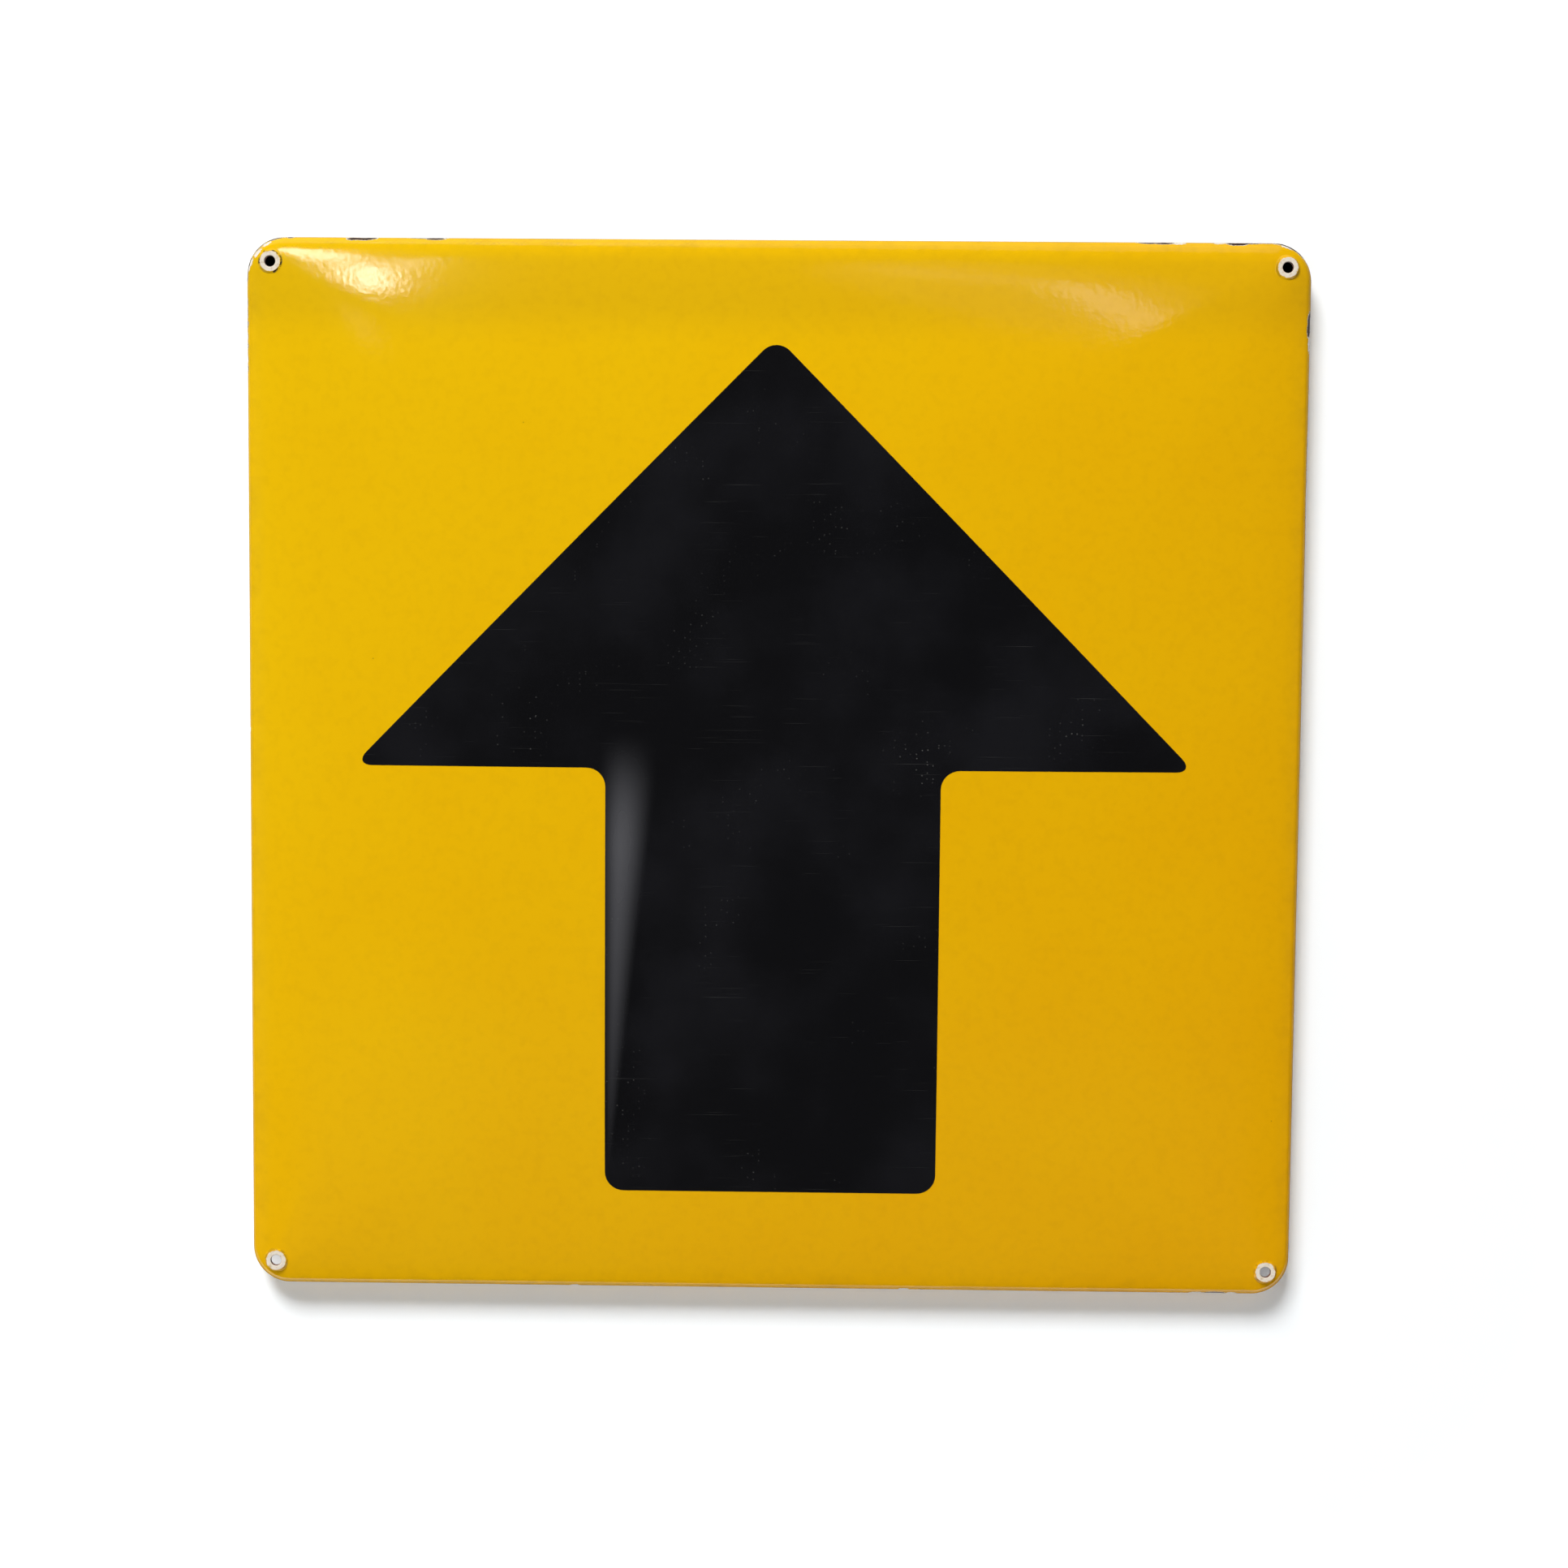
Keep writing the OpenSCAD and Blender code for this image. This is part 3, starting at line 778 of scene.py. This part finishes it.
stage = {
    "wall": (7.0, 5.0), "wallGap": 2.5 * mm,   # a white wall just behind the rim
    "floor": (7.0, 3.0), "floorZ": -1.2, "floorFront": -0.55,
    "white": "#FAFDFF", "dark": "#000000",
    "lift": 0.06,                 # light of its own, so that it is white beside the shadow
    "litLift": 0.16, "litEdge": (244.0, 254.0),   # mm, more of it along the lit top and left of the sign
    "farWall": (100.0, 370.0), "farFloor": (200.0, 700.0),   # mm, and most of all far out
    "maskEdge": (-0.5, -2.5),     # mm, there is none behind the sign, but each hole shows a spot of the wall
    "holeView": 241.5,            # mm across and up to the spots
    "holeShift": 1.0,             # mm, and all of them this much lower
    "spotEdge": (3.3, 2.9),       # mm, the upper ones painted dark, as painted shade
    "holeGlow": (0.58, 0.20),     # painted light in the lower left and the lower right one
    "sideEdge": 10.0,             # mm, where left turns into right, and upper into lower
    "closeBy": (1500.0, 400.0),   # mm from the sign
    "edgeDim": 0.7,               # painted shade: how much darker the rolled edge's gloss sees the wall there
    "floorFade": (1200.0, 3300.0),   # mm
}


def makeStage(name, size, middle, turned, shade):
    plane = bmesh.new()
    bmesh.ops.create_grid(plane, x_segments=1, y_segments=1, size=0.5)
    bmesh.ops.scale(plane, vec=(size[0], size[1], 1), verts=plane.verts)
    bmesh.ops.rotate(plane, cent=(0, 0, 0), matrix=Matrix.Rotation(math.radians(turned), 3, "X"),
                     verts=plane.verts)
    bmesh.ops.translate(plane, vec=middle, verts=plane.verts)
    mesh = bpy.data.meshes.new(name)
    plane.to_mesh(mesh)
    plane.free()
    piece = meshObject(name, mesh, [shade])
    return piece


# A matt painted wall: white and flat, and clear from behind so that the back of the sign can be seen. The
# gloss of the rolled edge sees it with painted shade close by, and the gloss of the back sees through it.
def makeWallPaint():
    material, tree, place = startMaterial("mattWallPaint")
    outer = cornerOffset(tree, place, cornerCore / mm)
    outer = addNode(tree, "VectorMath.MAXIMUM", (outer, (0, 0, 0)))
    outward = vectorLength(tree, outer)
    maskStart, maskEnd = (plate["cornerRadius"] / mm + edge for edge in stage["maskEdge"])
    behind = addNode(tree, "MapRange", (outward, maskStart, maskEnd))
    across = addNode(tree, "SeparateXYZ", (place,), output="X")
    up = addNode(tree, "SeparateXYZ", (place,), output="Z")

    leftSide = addNode(tree, "Math.MULTIPLY", (across, -1.0))
    litSide = addNode(tree, "Math.MAXIMUM", (up, leftSide))
    litLift = addNode(tree, "MapRange", (litSide, *stage["litEdge"], stage["lift"], stage["litLift"]))
    farLift = addNode(tree, "MapRange", (outward, *stage["farWall"]), **smooth)
    lift = addNode(tree, "Math.MAXIMUM", (litLift, farLift))

    # spots of the wall that the holes show: painted shade in the upper ones and painted light in the lower
    # ones
    lowered = addNode(tree, "VectorMath.ADD", (place, (0, 0, stage["holeShift"])))
    reach = vectorLength(tree, cornerOffset(tree, lowered, stage["holeView"]))
    spot = addNode(tree, "MapRange", (reach, *stage["spotEdge"]))
    side = stage["sideEdge"]
    lower = addNode(tree, "MapRange", (up, side, -side))
    paintedLightSpot = addNode(tree, "Math.MULTIPLY", (spot, lower))
    paintedShadeSpot = addNode(tree, "Math.SUBTRACT", (spot, paintedLightSpot))
    glowShare = addNode(tree, "MapRange", (across, -side, side, *stage["holeGlow"]))
    paintedLight = addNode(tree, "Math.MULTIPLY", (paintedLightSpot, glowShare))
    shownWall = addNode(tree, "Math.SUBTRACT", (1.0, behind))
    strength = addNode(tree, "Math.MULTIPLY_ADD", (lift, shownWall, paintedLight))

    # painted shade: the gloss sees the wall darker close to the sign
    rays = tree.nodes.new("ShaderNodeLightPath").outputs
    glossShade = addNode(tree, "MapRange", (outward, *stage["closeBy"]))
    for share in (rays["Is Glossy Ray"], stage["edgeDim"]):
        glossShade = addNode(tree, "Math.MULTIPLY", (glossShade, share))
    kept = addNode(tree, "Math.SUBTRACT", (1.0, glossShade))
    strength = addNode(tree, "Math.MULTIPLY", (strength, kept))
    light = addNode(tree, "Emission", {"Strength": strength})
    # painted shade in the colour too, for the gloss and for the spots of the upper holes
    paintedShade = addNode(tree, "Math.MAXIMUM", (glossShade, paintedShadeSpot))
    colour = addNode(tree, "Mix.RGBA", {"Factor": paintedShade, "A": stage["white"], "B": stage["dark"]})
    paint = addNode(tree, "BsdfDiffuse", {"Color": colour})
    both = addNode(tree, "AddShader", (light, paint))
    clear = addNode(tree, "BsdfTransparent")
    rear = addNode(tree, "NewGeometry", output="Backfacing")
    fromBack = addNode(tree, "Math.MULTIPLY", (rays["Is Glossy Ray"], behind))
    unseen = addNode(tree, "Math.MAXIMUM", (rear, fromBack))
    shown = addNode(tree, "MixShader", (unseen, both, clear))
    addNode(tree, "OutputMaterial", {"Surface": shown})
    return material


# A matt floor of the same white, as bright as the backdrop away from the sign.
def makeFloorPaint():
    material, tree, place = startMaterial("mattFloorPaint")
    rays = tree.nodes.new("ShaderNodeLightPath").outputs
    seen = addNode(tree, "Math.ADD", (rays["Is Camera Ray"], rays["Is Glossy Ray"]))
    seen = addNode(tree, "Math.ADD", (seen, rays["Is Transmission Ray"]), use_clamp=True)
    level = addNode(tree, "VectorMath.MULTIPLY", (place, (1, 1, 0)))
    outward = vectorLength(tree, level)
    lift = addNode(tree, "MapRange", (outward, *stage["farFloor"], stage["lift"], 1.0), **smooth)
    strength = addNode(tree, "Math.MULTIPLY", (seen, lift))

    # the gloss of the sign sees the floor fade out far off, so that its end draws no line there
    farOff = addNode(tree, "MapRange", (outward, *stage["floorFade"]), **smooth)
    faded = addNode(tree, "Math.MULTIPLY", (farOff, rays["Is Glossy Ray"]))
    kept = addNode(tree, "Math.SUBTRACT", (1.0, faded))
    strength = addNode(tree, "Math.MULTIPLY", (strength, kept))
    light = addNode(tree, "Emission", {"Strength": strength})
    colour = addNode(tree, "Mix.RGBA", {"Factor": faded, "A": stage["white"], "B": stage["dark"]})
    paint = addNode(tree, "BsdfDiffuse", {"Color": colour})
    both = addNode(tree, "AddShader", (light, paint))
    addNode(tree, "OutputMaterial", {"Surface": both})
    return material


wallY = plate["rimY"] + stage["wallGap"]
wallMiddle = stage["floorZ"] + stage["wall"][1] / 2
wall = makeStage("wall", stage["wall"], (0, wallY, wallMiddle), 90, makeWallPaint())
floorY = stage["floorFront"] + stage["floor"][1] / 2
makeStage("floor", stage["floor"], (0, floorY, stage["floorZ"]), 0, makeFloorPaint())
wall.visible_shadow = False
wall.visible_diffuse = False
wall.visible_transmission = False

# Lamps: name, shape, place, what it points at, width and height in metres, degrees that it is turned to the
# left, radiance, and which light it gives. In front, the gloss sees only two windows and a faint glow.
lamps = [
    ("keyAbove", "RECTANGLE", (-1.60, -4.10, 5.45), (0, 0, 0), (3.0, 2.2), 0, 23.8, "matt"),
    ("fillLeft", "RECTANGLE", (-2.0, -1.3, -0.2), (0, 0, 0), (1.4, 1.6), 0, 1.0, "matt"),
    ("fillRight", "RECTANGLE", (2.0, -1.3, -0.2), (0, 0, 0), (1.4, 1.6), 0, 0.6, "matt"),
    ("fillLow", "RECTANGLE", (0, -2.1, -1.1), (0, 0, 0), (2.4, 1.2), 0, 0.65, "matt"),
    ("glowAbove", "RECTANGLE", (-0.3, -1.2, 2.4), (0, 0, 0), (3.0, 2.0), 0, 0.5, "gloss"),
    ("windowCore", "ELLIPSE", (-0.42, -1.1, 0.67), (-0.42, 0, 0.67), (0.035, 0.17), 10, 13.0, "gloss"),
    ("windowHalo", "ELLIPSE", (-0.42, -1.1, 0.69), (-0.42, 0, 0.69), (0.07, 0.22), 8, 1.8, "gloss"),
    ("windowArm", "ELLIPSE", (-0.475, -1.1, 0.82), (-0.475, 0, 0.82), (0.055, 0.27), 24, 9.0, "gloss"),
    ("windowTail", "ELLIPSE", (-0.56, -1.1, 0.93), (-0.56, 0, 0.93), (0.17, 0.11), -11, 7.0, "gloss"),
    ("windowRight", "ELLIPSE", (-0.385, -1.1, 0.74), (-0.385, 0, 0.74), (0.03, 0.15), -14, 3.0, "gloss"),
    ("windowGhost", "ELLIPSE", (-0.46, -1.1, 0.45), (-0.46, 0, 0.45), (0.04, 0.10), 0, 0.3, "gloss"),
    ("paneLeft", "ELLIPSE", (0.165, -1.1, 0.69), (0.165, 0, 0.69), (0.25, 0.06), -29, 0.5, "gloss"),
    ("paneRight", "ELLIPSE", (0.293, -1.1, 0.575), (0.293, 0, 0.575), (0.19, 0.05), -57, 1.7, "gloss"),
    ("paneHook", "ELLIPSE", (0.335, -1.1, 0.52), (0.335, 0, 0.52), (0.06, 0.04), 40, 1.0, "gloss"),
    ("paneHaze", "ELLIPSE", (0.20, -1.1, 0.65), (0.20, 0, 0.65), (0.42, 0.24), -35, 0.12, "gloss"),
    ("backLeft", "RECTANGLE", (-1.3, 1.5, 0.9), (0, 0, 0), (1.0, 1.0), 0, 6.0, "all"),
    ("backRight", "RECTANGLE", (1.5, 1.3, 0.5), (0, 0, 0), (1.0, 1.0), 0, 4.0, "all"),
]
wattsPerRadiance = 4.0            # for each square metre of lamp


def aimed(place, target, turn):
    towards = (Vector(target) - Vector(place)).to_track_quat("-Z", "Y")
    return (towards @ Quaternion((0, 0, 1), math.radians(turn))).to_euler()


for name, shape, place, target, size, turn, radiance, reach in lamps:
    lamp = bpy.data.lights.new(name, "AREA")
    lamp.shape = shape
    lamp.size, lamp.size_y = size
    lamp.energy = radiance * size[0] * size[1] * wattsPerRadiance
    holder = bpy.data.objects.new(name, lamp)
    holder.location = place
    holder.rotation_euler = aimed(place, target, turn)
    holder.visible_camera = False
    holder.visible_diffuse = reach != "gloss"
    holder.visible_glossy = reach != "matt"
    scene.collection.objects.link(holder)

room = {"white": "#FFFFFF", "dim": 0.03, "turn": (-0.1, 0.25)}   # white behind the wall, dim before it

world = bpy.data.worlds.new("studio")
scene.world = world
world.use_nodes = True
worldTree = world.node_tree
worldTree.nodes.clear()
rays = worldTree.nodes.new("ShaderNodeLightPath").outputs
direction = addNode(worldTree, "TexCoord", output="Generated")
towards = addNode(worldTree, "SeparateXYZ", (direction,), output="Y")
behind = addNode(worldTree, "MapRange", (towards, *room["turn"]), **smooth)
shiny = addNode(worldTree, "Math.ADD", (rays["Is Glossy Ray"], rays["Is Transmission Ray"]), use_clamp=True)
mirrored = addNode(worldTree, "Math.MULTIPLY", (shiny, behind))
seen = addNode(worldTree, "Math.MAXIMUM", (mirrored, rays["Is Camera Ray"]))
strength = addNode(worldTree, "MapRange", (seen, 0.0, 1.0, room["dim"], 1.0))
background = addNode(worldTree, "Background", {"Color": room["white"], "Strength": strength})
addNode(worldTree, "OutputWorld", {"Surface": background})
print("stage, lamps and world ready")

camera = {
    "place": (0.0205, -1.1, 0.0688),
    "yaw": -0.80,                 # degrees, to the right is positive
    "pitch": -3.86,
    "roll": 0.49,
    "lens": 53.38, "frame": 36,   # mm
}

yaw, pitch, roll = (math.radians(camera[key]) for key in ("yaw", "pitch", "roll"))
forward = Vector((math.sin(yaw) * math.cos(pitch), math.cos(yaw) * math.cos(pitch), math.sin(pitch)))
level = forward.cross(Vector((0, 0, 1))).normalized()
upright = level.cross(forward)
right = level * math.cos(roll) + upright * math.sin(roll)
up = upright * math.cos(roll) - level * math.sin(roll)
lens = bpy.data.cameras.new("camera")
lens.sensor_width = camera["frame"]
lens.lens = camera["lens"]
view = bpy.data.objects.new("camera", lens)
view.matrix_world = Matrix.Translation(camera["place"]) @ Matrix((right, up, -forward)).transposed().to_4x4()
scene.collection.objects.link(view)
scene.camera = view
